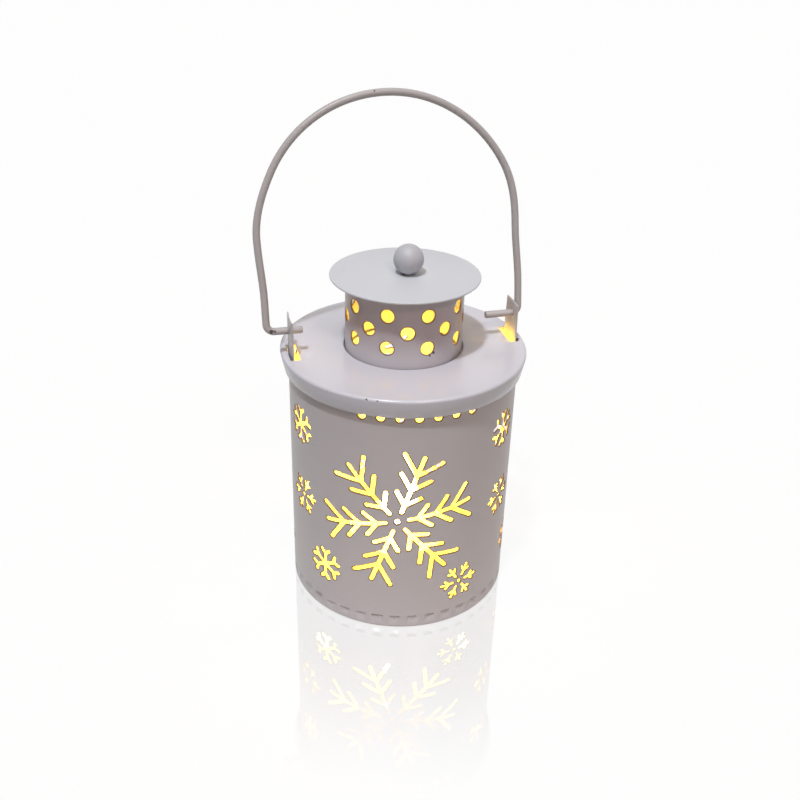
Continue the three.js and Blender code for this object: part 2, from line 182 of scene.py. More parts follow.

# %% [markdown]
# ## Paint
# Wall, lid, chimney, knob and handle are sprayed in pale grey-lilac paint. It clouds a little, has the faint
# ripple called orange peel, a few specks under it, and chips down to dark steel where pieces rub. Punched
# edges took little paint and look brown, partly from that and partly as painted warm light from inside.
# Painted shade darkens the faces turned down near the foot of wall and chimney, such as the steps of the
# presses, and browns the upper chimney under the cap. The paint's colour is also set per piece as painted
# light and shade: lighter and bluer on lid and cap, darker on wall, knob and handle. A flat colour would
# show none of this, so noise of three sizes drives colour, roughness and bump, and each chip is a ragged
# spot round a point.

# %% Paint maker
PAINT_COLOUR = (0.610, 0.578, 0.598)
STEEL_UNDER_PAINT = (0.075, 0.062, 0.055)
EDGE_THIN_PAINT_LIGHT_AND_SHADE = (0.24, 0.15, 0.085)
CAP_SHADE_COLOUR = (0.505, 0.425, 0.430)
NOISE_MIDDLE = 0.5
PEEL_SCALE, PEEL_STRENGTH, PEEL_DEPTH = 900, 0.10, 0.12 * MM
CLOUD_SCALE, CLOUD_DARK, CLOUD_PALE, CLOUD_GLOSS = 45, 0.975, 1.02, 0.06
SPECK_SCALE, SPECK_OUTSIDE, SPECK_INSIDE = 75, 0.035, 0.02
SPECK_SHARE, SPECK_SHADE, SPECK_RELIEF = 0.35, 0.45, 0.8
CHIP_SCALE, CHIP_RAGGED, CHIP_SOFT = 2500, 1.1 * MM, 0.08
CHIP_GLOSS, CHIP_RELIEF = 0.3, 1.5
CAP_SHADE_RAGGED = 6 * MM
TURNED_ASIDE = (0.955, 0.915)
TURNED_DOWN = (-0.3, -0.5)
FOOT_SHARE = 0.95


def shaded(colour, share):
    return tuple(channel * share for channel in colour)


def chip_mask(finish, chips):
    """1 inside the chips, each given as (x, y, z, radius) in millimetres."""
    ragged = (finish.noise(CHIP_SCALE, 3.0) - NOISE_MIDDLE) * CHIP_RAGGED
    mask = None
    for x, y, z, radius in chips:
        away = finish.distance((x * MM, y * MM, z * MM)) + ragged
        spot = finish.ramp(away, radius * MM, (radius - CHIP_SOFT) * MM)
        mask = spot if mask is None else mask.largest(spot)
    return mask


def edge_paint_light_and_shade(finish, low, high):
    """1 on the cut edges of a rolled sheet between two heights, for thin paint and painted warm light, and
    below them on what faces down, for painted shade.
    """
    level = finish.node("VectorMath", {"operation": "MULTIPLY"}, {0: finish.place(), 1: (1, 1, 0)})
    outwards = finish.node("VectorMath", {"operation": "NORMALIZE"}, {0: level})
    normal = finish.node("TexCoord", out="Normal")
    facing = finish.node("VectorMath", {"operation": "DOT_PRODUCT"}, {0: outwards, 1: normal}, out="Value")
    edge = finish.ramp(facing.math("ABSOLUTE", facing, 0), *TURNED_ASIDE)
    height = finish.height()
    rims = edge * finish.ramp(height, high, high - MM) * finish.ramp(height, low - MM, low)
    down = finish.ramp(finish.node("SeparateXYZ", None, {0: normal}, out="Z"), *TURNED_DOWN)
    return rims.largest(down * finish.ramp(height, low, low - MM) * FOOT_SHARE)


def paint(name, colour=PAINT_COLOUR, roughness=0.38, chips=(), cuts=None, cap_shade_heights=None):
    """One paint; cuts are the lowest and highest brown edge, of thin paint and painted warm light; the last
    pair of heights is where painted shade under the cap starts and ends.
    """
    finish = new_finish(name)
    cloud = finish.noise(CLOUD_SCALE, 1.0)
    peel = finish.noise(PEEL_SCALE, 1.0)
    cells = finish.node("TexVoronoi", None, {"Vector": finish.place(), "Scale": SPECK_SCALE})
    specks = finish.ramp(cells, SPECK_OUTSIDE, SPECK_INSIDE)
    shade = finish.tint(cloud, shaded(colour, CLOUD_DARK), shaded(colour, CLOUD_PALE))
    shade = finish.tint(specks * SPECK_SHARE, shade, shaded(colour, SPECK_SHADE))
    gloss = roughness + (cloud - NOISE_MIDDLE) * CLOUD_GLOSS
    relief = peel + specks * SPECK_RELIEF
    # Painted shade under the cap: the upper chimney darkens to a browner colour.
    if cap_shade_heights:
        under_cap = finish.ramp(finish.height() + (cloud - NOISE_MIDDLE) * CAP_SHADE_RAGGED, *cap_shade_heights)
        shade = finish.tint(under_cap, shade, CAP_SHADE_COLOUR)
    if cuts:
        # Punched edges: brown of thin paint with painted warm light; faces turned down near the foot: painted
        # shade.
        shade = finish.tint(edge_paint_light_and_shade(finish, *cuts), shade, EDGE_THIN_PAINT_LIGHT_AND_SHADE)
    if chips:
        chipped = chip_mask(finish, chips)
        shade = finish.tint(chipped, shade, STEEL_UNDER_PAINT)
        gloss = gloss + chipped * CHIP_GLOSS
        relief = relief - chipped * CHIP_RELIEF
    return finish.coat({
        "Base Color": shade,
        "Roughness": gloss,
        "Normal": finish.bump(relief, PEEL_STRENGTH, PEEL_DEPTH),
    })


# The wall's colour is darker and warmer than the lid's: painted shade on the upright wall, shared by the base
# pan. Below 7 mm, faces turned down at the press steps and the foot get painted shade.
wall_paint = paint("wall_paint", colour=(0.560, 0.518, 0.520), cuts=(7 * MM, 90 * MM))
print("made", wall_paint.name)

# %% [markdown]
# ## Working in edit mode
# Each piece is modelled as by hand: something simple is added, its points or faces are picked by where they
# are, and operators extrude, spin, cut and move what is picked. Small helpers save repeating the steps:
# they turn to one object, pick by a test, apply a modifier and tie a finished piece to the frame.

# %% Picking and finishing
SHARP_DEGREES = 40


def leave_edit():
    bpy.ops.object.mode_set(mode="OBJECT")


def only(obj):
    """Selects one object and nothing else, in object mode."""
    if bpy.context.object and bpy.context.object.mode == "EDIT":
        leave_edit()
    bpy.ops.object.select_all(action="DESELECT")
    obj.select_set(True)
    bpy.context.view_layer.objects.active = obj


def edit_all(obj):
    """In edit mode, selects a whole mesh."""
    only(obj)
    bpy.ops.object.mode_set(mode="EDIT")
    bpy.ops.mesh.select_all(action="SELECT")


def middle(item):
    """Where a point, an edge or a face is."""
    if isinstance(item, bmesh.types.BMVert):
        return item.co
    if isinstance(item, bmesh.types.BMFace):
        return item.calc_center_median()
    return (item.verts[0].co + item.verts[1].co) / 2


def pick(obj, kind, wanted):
    """In edit mode, selects the points (VERT), edges (EDGE) or faces (FACE) that pass a test."""
    only(obj)
    bpy.ops.object.mode_set(mode="EDIT")
    bpy.ops.mesh.select_mode(type=kind)
    bpy.ops.mesh.select_all(action="DESELECT")
    mesh = bmesh.from_edit_mesh(obj.data)
    items = {"VERT": mesh.verts, "EDGE": mesh.edges, "FACE": mesh.faces}[kind]
    count = 0
    for item in items:
        if wanted(item, middle(item)):
            item.select_set(True)
            count += 1
    mesh.select_flush_mode()
    bmesh.update_edit_mesh(obj.data)
    return count


def apply_modifier(obj, kind, **settings):
    only(obj)
    modifier = obj.modifiers.new("step", kind)
    for name, value in settings.items():
        setattr(modifier, name, value)
    bpy.ops.object.modifier_apply(modifier="step")


def settle(obj):
    """Works an object's place, turn and scale into its points."""
    only(obj)
    bpy.ops.object.transform_apply(location=True, rotation=True, scale=True)


def finished(obj, body, nodes, material, smooth=SHARP_DEGREES):
    """Shades a piece, gives it its paint and ties it to the frame."""
    settle(obj)
    bpy.ops.object.shade_smooth_by_angle(angle=math.radians(smooth))
    obj.data.materials.clear()
    obj.data.materials.append(material)
    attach(obj, body)
    if nodes:
        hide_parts(*nodes)
    print(obj.name, "has", len(obj.data.polygons), "faces")


# %% [markdown]
# ## The sheet: punched flat, then rolled
# On the real lantern the wall is a strip of sheet steel that is punched while it lies flat, then rolled
# until its ends meet. Cutting holes in a finished cylinder with booleans would leave broken shading round
# each hole. Following the real order is cleaner: a flat filled outline with holes becomes a plate, straight
# cuts divide it into narrow strips, and a Simple Deform bend rolls the strips into a true cylinder.

# %% Outlines of holes
SHEET = 0.6 * MM
ARM_COUNT = 6
TWIG_ANGLE = math.radians(46)


def arc(x, y, radius, start, end, steps):
    """Points on an arc from one angle to another, both ends included."""
    angles = [start + (end - start) * i / steps for i in range(steps + 1)]
    return [(x + radius * math.cos(a), y + radius * math.sin(a)) for a in angles]


def circle(diameter, steps, x=0.0, y=0.0):
    return arc(x, y, diameter / 2, 0, math.tau, steps)[1:]


def turned(points, angle):
    c, s = math.cos(angle), math.sin(angle)
    return [(x * c - y * s, x * s + y * c) for x, y in points]


def mirrored(points):
    return [(x, -y) for x, y in reversed(points)]


print("a circle in 8 steps has", len(circle(MM, steps=8)), "points")

# %% [markdown]
# ### Snowflakes
# Three common snowflakes are punched: a large one of six lone arms round a dot, a small one like it, and a
# forked one whose arms grow out of a hub. Each arm is drawn once as a rounded stem with pairs of twigs
# leaning outwards, then turned five times by 60 degrees. The sizes are those of the CAD wall, in
# millimetres; here the ends of the strokes are true half circles.

# %% Snowflake outlines
END_STEPS = 10
BIG_FLAKE = {
    "stroke": 2.25, "dot": 2.75, "stem": (4.15, 26.3), "twigs": [(7.1, 6.0), (13.4, 7.3), (19.3, 9.5)],
}
SPLIT_FLAKE = {"stroke": 1.65, "dot": 2.1, "stem": (2.6, 7.1), "twigs": [(4.2, 2.1)]}
FORKED_FLAKE = {"stroke": 2.05, "hub": 4.2, "twigs": [(4.4, 2.25)]}


def stroke_end(flake, x, y, angle):
    return arc(x, y, flake["stroke"] / 2, angle + math.pi / 2, angle - math.pi / 2, END_STEPS)


def arm_side(flake):
    """Half of an arm from the middle outwards: a notch behind each twig, its end, a notch before it."""
    half = flake["stroke"] / 2
    lean = math.tan(TWIG_ANGLE / 2)
    points = []
    for root, length in flake["twigs"]:
        tip = (root + length * math.cos(TWIG_ANGLE), length * math.sin(TWIG_ANGLE))
        points.append((root - half * lean, half))
        points += stroke_end(flake, *tip, TWIG_ANGLE)
        points.append((root + half / lean, half))
    return points


def lone_arm(flake):
    side = arm_side(flake)
    inner, outer = flake["stem"]
    start = stroke_end(flake, inner, 0, -math.pi)
    return [*start, *side, *stroke_end(flake, outer, 0, 0), *mirrored(side)]


def forked_arm(flake):
    half = flake["stroke"] / 2
    foot = math.sqrt((flake["hub"] / 2) ** 2 - half**2)
    side = [(foot, half), *arm_side(flake)[:-1]]
    crotch = (flake["twigs"][0][0] + half / math.sin(TWIG_ANGLE), 0)
    return [*side, crotch, *mirrored(side)]


def flake_outlines(flake):
    arm = forked_arm(flake) if "hub" in flake else lone_arm(flake)
    arms = [turned(arm, -i * math.tau / ARM_COUNT) for i in range(ARM_COUNT)]
    if "hub" in flake:
        return [[point for one in arms for point in one]]
    return [circle(flake["dot"], steps=20), *arms]


print("large snowflake:", sum(len(outline) for outline in flake_outlines(BIG_FLAKE)), "points")

# %% [markdown]
# ### Plate, strips and roll
# A 2D curve fills itself and leaves its inner outlines open, and its bevel slopes the edge of every hole, as
# a punch draws the sheet in; scaling makes that slope wider than deep. Bisecting along straight lines gives
# the strips that bend; without them a flat face could not follow the roll. The plate's ends are sloped too,
# so they are squared before rolling and meet in a closed seam.

# %% Plate, strips and roll
PUNCH_EDGE, PUNCH_DROP = 0.38 * MM, 0.19 * MM
SHEET_SMOOTH = 15
FLAT_ANGLE = math.radians(0.5)
NEAR = 0.01 * MM
MERGE, SEAM_MERGE = 0.002 * MM, 0.004 * MM
X, Y = 0, 1


def plate(name, outlines):
    """A flat sheet in X and Y from outlines in metres: the first is its edge, the others are holes."""
    flatter = PUNCH_DROP / PUNCH_EDGE
    drawing = bpy.data.curves.new(name, "CURVE")
    drawing.dimensions = "2D"
    drawing.fill_mode = "BOTH"
    drawing.extrude = SHEET / 2 / flatter - PUNCH_EDGE
    drawing.bevel_depth = PUNCH_EDGE
    drawing.bevel_resolution = 0
    for outline in outlines:
        spline = drawing.splines.new("POLY")
        spline.points.add(len(outline) - 1)
        spline.use_cyclic_u = True
        for point, (x, y) in zip(spline.points, outline):
            point.co = (x, y, 0, 1)
    obj = bpy.data.objects.new(name, drawing)
    bpy.context.collection.objects.link(obj)
    only(obj)
    bpy.ops.object.convert(target="MESH")
    obj = bpy.context.object
    obj.scale.z = flatter
    settle(obj)
    edit_all(obj)
    bpy.ops.mesh.remove_doubles(threshold=MERGE)
    bpy.ops.mesh.dissolve_limited(angle_limit=FLAT_ANGLE)
    leave_edit()
    return obj


def cut_along(obj, axis, places):
    """Straight cuts through a whole mesh, at right angles to an axis."""
    normal = Vector((0, 0, 0))
    normal[axis] = 1
    for place in places:
        edit_all(obj)
        bpy.ops.mesh.bisect(plane_co=normal * place, plane_no=normal)
    leave_edit()


def stand_up(obj):
    """Stands a flat plate on its lower edge, its outer face on Y = 0 and its thickness behind it."""
    obj.rotation_euler.x = math.pi / 2
    obj.location.y = SHEET / 2
    settle(obj)


def roll(obj, radius, heading):
    """Squares an upright plate's ends and rolls it round Z, its middle at a heading from -Y towards +X."""
    half = math.pi * radius - NEAR / 10
    for side in (1, -1):
        pick(obj, "VERT", lambda point, place: side * place.x > half)
        bpy.ops.transform.resize(value=(0, 1, 1), center_override=(side * math.pi * radius, 0, 0))
    pick(obj, "FACE", lambda face, place: all(abs(point.co.x) > half for point in face.verts))
    bpy.ops.mesh.delete(type="FACE")
    leave_edit()
    apply_modifier(obj, "SIMPLE_DEFORM", deform_method="BEND", deform_axis="Z", angle=math.tau)
    obj.location.y = -radius
    settle(obj)
    obj.rotation_euler.z = heading
    settle(obj)
    edit_all(obj)
    bpy.ops.mesh.remove_doubles(threshold=SEAM_MERGE)
    bpy.ops.mesh.normals_make_consistent(inside=False)
    leave_edit()


print("sheet", SHEET / MM, "mm thick, edges drawn in over", PUNCH_EDGE / MM, "mm")

# %% [markdown]
# ## Wall
# The wall carries three repeats of the snowflakes, each with a row of seven vents over it under the lid, and
# two ears that stand up through the lid and hold the handle. All of it is one flat outline with holes,
# placed by heading. The seam is at the back, where no snowflake falls.

# %% Wall plate
WALL_RADIUS = 40 * MM
WALL_HEIGHT = 92.6 * MM
FRONT_HEADING = math.radians(-15.4)
SEAM_HEADING = math.radians(152.1)
PLATE_HEADING = SEAM_HEADING - math.pi
EAR_HEADINGS = (math.pi / 2, -math.pi / 2)
EAR_BASE, EAR_TIP, EAR_HEIGHT = 12 * MM, 10.8 * MM, 13.7 * MM
EAR_HOLE_DIAMETER = 3.4 * MM
AXIS_HEIGHT = 101.7 * MM
RING_COUNT = 40
VENT_DIAMETER, VENT_HEIGHT = 3.4 * MM, 85.5 * MM
VENT_PLACES = range(-2, 5)
PATTERN_FOOT, PATTERN_TOP = 6.0 * MM, 83.5 * MM
PATTERN_REPEATS = 3
PATTERN = [
    (BIG_FLAKE, 0, 0.512, 11),
    (FORKED_FLAKE, -58.5, 0.846, 29),
    (SPLIT_FLAKE, -57, 0.487, 4),
    (FORKED_FLAKE, -39.6, 0.182, 29),
    (SPLIT_FLAKE, 34.2, 0.132, 4),
]


def along_wall(heading):
    """How far along the flat plate a heading lies, from its middle."""
    turns = (heading - PLATE_HEADING + math.pi) % math.tau - math.pi
    return turns * WALL_RADIUS


def wall_edge():
    half = math.pi * WALL_RADIUS
    rim, top = WALL_HEIGHT - PUNCH_EDGE, WALL_HEIGHT + EAR_HEIGHT - PUNCH_EDGE
    base, tip = EAR_BASE / 2 - PUNCH_EDGE, EAR_TIP / 2 - PUNCH_EDGE
    edge = [(-half, PUNCH_EDGE), (half, PUNCH_EDGE), (half, rim)]
    for heading in EAR_HEADINGS:
        x = along_wall(heading)
        edge += [(x + base, rim), (x + tip, top), (x - tip, top), (x - base, rim)]
    return [*edge, (-half, rim)]


def wall_holes():
    """The ear holes, then the vents and snowflakes of each third."""
    holes = []
    for heading in EAR_HEADINGS:
        holes.append(circle(EAR_HOLE_DIAMETER, 32, along_wall(heading), AXIS_HEIGHT))
    for repeat in range(PATTERN_REPEATS):
        third = FRONT_HEADING + repeat * math.tau / PATTERN_REPEATS
        for i in VENT_PLACES:
            x = along_wall(third + i * math.tau / RING_COUNT)
            holes.append(circle(VENT_DIAMETER, 24, x, VENT_HEIGHT))
        for flake, heading, level, turn in PATTERN:
            x = along_wall(third + math.radians(heading))
            y = PATTERN_FOOT + level * (PATTERN_TOP - PATTERN_FOOT)
            for outline in flake_outlines(flake):
                points = turned(outline, math.radians(turn))
                holes.append([(x + px * MM, y + py * MM) for px, py in points])
    return holes


wall = plate("lantern_wall", [wall_edge(), *wall_holes()])
print("wall plate:", len(wall.data.polygons), "faces")

# %% [markdown]
# ### Strips
# Flat faces only follow the roll where they are narrow, so the strips are two degrees wide, and a quarter
# of that along the foot, where the presses need more points. Level cuts give the presses their rows.

# %% Wall strips
STRIP_DEGREES, STRIP_OFFSET = 2, 0.5
FOOT_TOP, FOOT_BAND, FOOT_CUTS = 0.65 * MM, 6 * MM, 3
PRESS_TOP, PRESS_DEEPEST, PRESS_FOOT = 4.95 * MM, 4.25 * MM, 1.3 * MM
PRESS_ROW_COUNT = 5
PRESS_ROWS = [
    PRESS_DEEPEST + (PRESS_FOOT - PRESS_DEEPEST) * i / PRESS_ROW_COUNT for i in range(PRESS_ROW_COUNT)
]

degree = math.radians(1) * WALL_RADIUS
cut_along(wall, X, [(turn + STRIP_OFFSET) * degree for turn in range(-180, 180, STRIP_DEGREES)])
cut_along(wall, Y, [FOOT_TOP, PRESS_FOOT, *PRESS_ROWS, PRESS_TOP, FOOT_BAND])
stand_up(wall)


def in_foot_band(edge, place):
    """Edges that run along the sheet in the band of the presses."""
    run = edge.verts[1].co - edge.verts[0].co
    return place.z < FOOT_BAND + NEAR and abs(run.z) < NEAR and abs(run.y) < NEAR


pick(wall, "EDGE", in_foot_band)
bpy.ops.mesh.subdivide(number_cuts=FOOT_CUTS)
leave_edit()
print("wall strips:", len(wall.data.polygons), "faces")

# %% [markdown]
# ### Presses
# A ring of small presses near the foot holds the base pan down. Each has a crisp step along its top and
# runs out downwards. They could be cut as pockets, but a punch only pushes the sheet in, so their points are
# picked column by column and pushed, most in the middle and just under the top.

# %% Wall presses
PRESS_DEPTH = 0.72 * MM
PRESS_HALF, PRESS_SPREAD = 2.05 * MM, 0.1

pitch = math.tau / RING_COUNT * WALL_RADIUS
first_press = along_wall(FRONT_HEADING)


def beside_press(x):
    """How far a place along the sheet is from the middle of the nearest press."""
    return abs((x - first_press + pitch / 2) % pitch - pitch / 2)


pushed = 0
for row in PRESS_ROWS:
    half = PRESS_HALF + (PRESS_DEEPEST - row) * PRESS_SPREAD
    row_share = (row - PRESS_FOOT) / (PRESS_DEEPEST - PRESS_FOOT)
    for column in range(int(half / degree * 2) + 1):
        aside = column * degree / 2
        pushed += pick(wall, "VERT", lambda point, place: (
            abs(place.z - row) < NEAR and abs(beside_press(place.x) - aside) < NEAR))
        push = PRESS_DEPTH * row_share * (1 - (aside / half) ** 2)
        bpy.ops.transform.translate(value=(0, push, 0))
print("presses:", RING_COUNT, "of depth", PRESS_DEPTH / MM, "mm, from", pushed, "points")

# %% [markdown]
# ### Rolled, with a turned-in foot
# The wall is rolled, and its lower edge is folded in to carry the pan. Folding before the roll would crease
# it, so the lowest inside faces are drawn in towards the axis afterwards.

# %% Wall rolled, foot turned in
FOOT_INSIDE = 37.4 * MM
INWARDS = -0.9


def turn_in(obj, low, high, outer, inner):
    """Draws the inside faces of a tube between two heights in towards its axis."""
    pick(obj, "FACE", lambda face, place: (
        low < place.z < high
        and face.normal.x * place.x + face.normal.y * place.y < INWARDS * place.xy.length))
    bpy.ops.mesh.extrude_region_move()
    share = inner / outer
    bpy.ops.transform.resize(value=(share, share, 1), center_override=(0, 0, 0))


roll(wall, WALL_RADIUS, PLATE_HEADING)
turn_in(wall, 0, FOOT_TOP, WALL_RADIUS - SHEET, FOOT_INSIDE)
finished(wall, "body", ["body_wall"], wall_paint, smooth=SHEET_SMOOTH)

# %% [markdown]
# ## Spun pieces
# Pan, lid, cap, knob, cup and wax are round, so each is a profile turned about the axis. A lathe modifier
# would do, but drawing the profile by extruding one point along it and then spinning it is the plain way in
# edit mode. Points on the axis meet when doubles are merged, and a bevel softens the pressed edges.

# %% Spinning a profile
SLIVER = 0.0005 * MM


def added(name, primitive, **settings):
    """Adds one of Blender's simple meshes and names it."""
    bpy.ops.object.select_all(action="DESELECT")
    primitive(**settings)
    obj = bpy.context.object
    obj.name = name
    return obj


def spun(name, profile, steps, closed=True):
    """Spins (radius, height) points in millimetres about Z; a closed profile returns to its first point."""
    obj = added(name, bpy.ops.mesh.primitive_plane_add, size=MM)
    bpy.ops.object.mode_set(mode="EDIT")
    bpy.ops.mesh.select_mode(type="VERT")
    bpy.ops.mesh.select_all(action="SELECT")
    bpy.ops.mesh.merge(type="CENTER")
    path = [(radius * MM, height * MM) for radius, height in profile]
    if closed:
        path.append(path[0])
    here = (0.0, 0.0)
    for index, (radius, height) in enumerate(path):
        move = (radius - here[0], 0, height - here[1])
        if index == 0:
            bpy.ops.transform.translate(value=move)
        else:
            bpy.ops.mesh.extrude_vertices_move(TRANSFORM_OT_translate={"value": move})
        here = (radius, height)
    bpy.ops.mesh.select_all(action="SELECT")
    bpy.ops.mesh.spin(steps=steps, angle=math.tau, center=(0, 0, 0), axis=(0, 0, 1))
    bpy.ops.mesh.select_all(action="SELECT")
    bpy.ops.mesh.remove_doubles(threshold=MERGE)
    bpy.ops.mesh.dissolve_degenerate(threshold=SLIVER)
    bpy.ops.mesh.normals_make_consistent(inside=False)
    leave_edit()
    return obj


def soft_edges(obj, width):
    """Takes the sharpness off every edge, as paint does on sheet metal."""
    limits = {"limit_method": "ANGLE", "angle_limit": math.radians(SHARP_DEGREES)}
    apply_modifier(obj, "BEVEL", width=width, segments=2, use_clamp_overlap=True, **limits)


print("profiles are drawn in millimetres and spun in metres")

# %% [markdown]
# ## Base pan
# A shallow pressed pan closes the bottom. Its rim rests on the wall's foot under the presses, and its floor
# is level with the foot, so the lantern stands flat. It is a spun profile with softened bends.

# %% Base pan
PAN_PROFILE = [
    (0, 0), (36.5, 0), (36.5, 0.9), (39.1, 0.9), (39.1, 2.1),
    (38.5, 2.1), (38.5, 1.5), (35.9, 1.5), (35.9, 0.6), (0, 0.6),
]

pan = spun("base_pan_pressed", PAN_PROFILE, steps=120, closed=False)
soft_edges(pan, width=0.2 * MM)
finished(pan, "body", ["base_pan"], wall_paint)

# %% [markdown]
# ## Lid
# The lid is pressed from one disc: a flat top, a rounded edge running into a skirt that hangs over the wall
# and narrows downwards, and a sunk collar with a ledge that the chimney stands on. Two slots let the ears
# through. The slots could be cut by hand, but a boolean with a rounded box is exact, and the bevel then
# softens their edges with the rest.

# %% Lid
LID_TOP, LID_UNDER = 93.5, 92.9
SKIRT_RADIUS, SKIRT_FOOT, LID_EDGE = 42.8, 86.7, 1.0
SKIRT_FOOT_RADIUS = 41.6
COLLAR_RADIUS, MOUTH_RADIUS, LEDGE_TOP = 20.7, 19.3, 90.6
COLLAR_ROUND, COLLAR_STEPS = 0.6, 4
SHEET_MM = SHEET / MM
EDGE_STEPS = 8

edge_x, edge_z = SKIRT_RADIUS - LID_EDGE, LID_TOP - LID_EDGE
collar_x, collar_z = COLLAR_RADIUS + COLLAR_ROUND, LID_TOP - COLLAR_ROUND
lid_profile = [
    (MOUTH_RADIUS, LEDGE_TOP - SHEET_MM),
    (COLLAR_RADIUS + SHEET_MM, LEDGE_TOP - SHEET_MM),
    (COLLAR_RADIUS + SHEET_MM, LID_UNDER),
    *arc(edge_x, edge_z, LID_EDGE - SHEET_MM, math.pi / 2, 0, EDGE_STEPS),
    (SKIRT_FOOT_RADIUS - SHEET_MM, SKIRT_FOOT),
    (SKIRT_FOOT_RADIUS, SKIRT_FOOT),
    *arc(edge_x, edge_z, LID_EDGE, 0, math.pi / 2, EDGE_STEPS),
    *arc(collar_x, collar_z, COLLAR_ROUND, math.pi / 2, math.pi, COLLAR_STEPS),
    (COLLAR_RADIUS, LEDGE_TOP),
    (MOUTH_RADIUS, LEDGE_TOP),
]
lid = spun("lid_pressed", lid_profile, steps=144)
print("lid profile:", len(lid_profile), "points")

# %% Lid slots
SLOT_INSIDE, SLOT_OUTSIDE, SLOT_LENGTH, SLOT_DEPTH = 36.94, 40.45, 12.9, 6
SLOT_CORNER = 0.5 * MM
LID_CHIPS = [(-21.3, -37.0, 93.0, 0.42), (-18.2, -38.6, 93.0, 0.32), (40.5, -4.6, 93.3, 0.75)]


def block(size, place):
    """A box to cut with, its middle at a place."""
    obj = added("cutter", bpy.ops.mesh.primitive_cube_add, size=1, location=place)
    obj.scale = size
    settle(obj)
    return obj


def cut_out(obj, cutter):
    """Cuts the cutter's shape out of a piece and throws the cutter away."""
    apply_modifier(obj, "BOOLEAN", operation="DIFFERENCE", object=cutter, solver="EXACT")
    bpy.data.objects.remove(cutter)


slot_size = Vector((SLOT_OUTSIDE - SLOT_INSIDE, SLOT_LENGTH, SLOT_DEPTH)) * MM
for side in (1, -1):
    cutter = block(slot_size, (side * (SLOT_INSIDE + SLOT_OUTSIDE) / 2 * MM, 0, LID_TOP * MM))
    pick(cutter, "EDGE", lambda edge, place: abs(edge.verts[0].co.z - edge.verts[1].co.z) > MM)
    bpy.ops.mesh.bevel(offset=SLOT_CORNER, segments=4)
    leave_edit()
    cut_out(lid, cutter)
# Lighter and bluer than the wall's colour: painted light from above on the lid.
lid_paint = paint("lid_paint", colour=(0.636, 0.624, 0.682), roughness=0.22, chips=LID_CHIPS)
soft_edges(lid, width=0.12 * MM)
finished(lid, "lid", ["lid"], lid_paint)

# %% [markdown]
# ## Chimney
# The chimney is made like the wall: a strip with three staggered rows of round dots, rolled until its ends
# meet, and turned in at the top to carry the cap. Its seam is slipped aside by a few millimetres, so that it
# runs up between two columns of dots.

# %% Chimney
CHIMNEY_RADIUS = 20.3 * MM
CHIMNEY_FOOT, CHIMNEY_TOP = 90.9 * MM, 118.2 * MM
DOT_DIAMETER, DOT_COLUMNS = 5.35 * MM, 9
DOT_COLUMN_PITCH = 13.7 * MM / CHIMNEY_RADIUS
DOT_ROWS = [(-1, 100.4 * MM), (0, 106.1 * MM), (1, 111.8 * MM)]
DOT_HEADING = math.radians(-11.0)
SEAM_SLIP = 5.55 * MM
FLANGE_INSIDE = 16.7 * MM
CHIMNEY_CHIPS = [(5.2, -19.6, 98.5, 0.5), (3.9, -19.9, 97.7, 0.4), (-19.0, -7.0, 99.1, 0.5)]


def chimney_outlines():
    half = math.pi * CHIMNEY_RADIUS
    foot, top = CHIMNEY_FOOT + PUNCH_EDGE, CHIMNEY_TOP - PUNCH_EDGE
    outlines = [[(-half, foot), (half, foot), (half, top), (-half, top)]]
    for row, height in DOT_ROWS:
        for column in range(DOT_COLUMNS):
            steps = column - (DOT_COLUMNS - 1) / 2 + row / 2
            x = steps * DOT_COLUMN_PITCH * CHIMNEY_RADIUS + SEAM_SLIP
            outlines.append(circle(DOT_DIAMETER, 40, (x + half) % (2 * half) - half, height))
    return outlines


chimney = plate("chimney_tube", chimney_outlines())
strip = math.radians(STRIP_DEGREES) * CHIMNEY_RADIUS
cut_along(chimney, X, [(step + STRIP_OFFSET) * strip for step in range(-90, 90)])
cut_along(chimney, Y, [CHIMNEY_TOP - SHEET])
stand_up(chimney)
roll(chimney, CHIMNEY_RADIUS, DOT_HEADING - SEAM_SLIP / CHIMNEY_RADIUS)
turn_in(chimney, CHIMNEY_TOP - SHEET, CHIMNEY_TOP, CHIMNEY_RADIUS - SHEET, FLANGE_INSIDE)
# The chimney's top gets painted shade under the cap; its dot edges get brown thin paint with painted warm
# light.
chimney_paint = paint(
    "chimney_paint", roughness=0.30, cuts=(95 * MM, 117 * MM), cap_shade_heights=(96 * MM, 106 * MM),
    chips=CHIMNEY_CHIPS)
finished(chimney, "chimney", ["chimney"], chimney_paint, smooth=SHEET_SMOOTH)

# %% [markdown]
# ## Cap and knob
# The cap is a flat disc with a rounded rim, screwed to a ball knob from below. Both are spun. The ball has a
# small flat where it sits on the cap, and its bore takes the screw, so its profile starts inside the bore.
# The screw's hole is a millimetre off the middle, as in the photograph, so knob and screw are slid there.

# %% Cap
CAP_RADIUS, CAP_UNDER, CAP_TOP = 25.6, 118.5, 119.3
SCREW_HOLE = 1.8
RIM_ROUND, RIM_STEPS = 0.38, 8
DRILL_LENGTH = 4 * MM
KNOB_HEADING = math.radians(75)
KNOB_ASIDE = Vector((math.sin(KNOB_HEADING), -math.cos(KNOB_HEADING), 0)) * MM

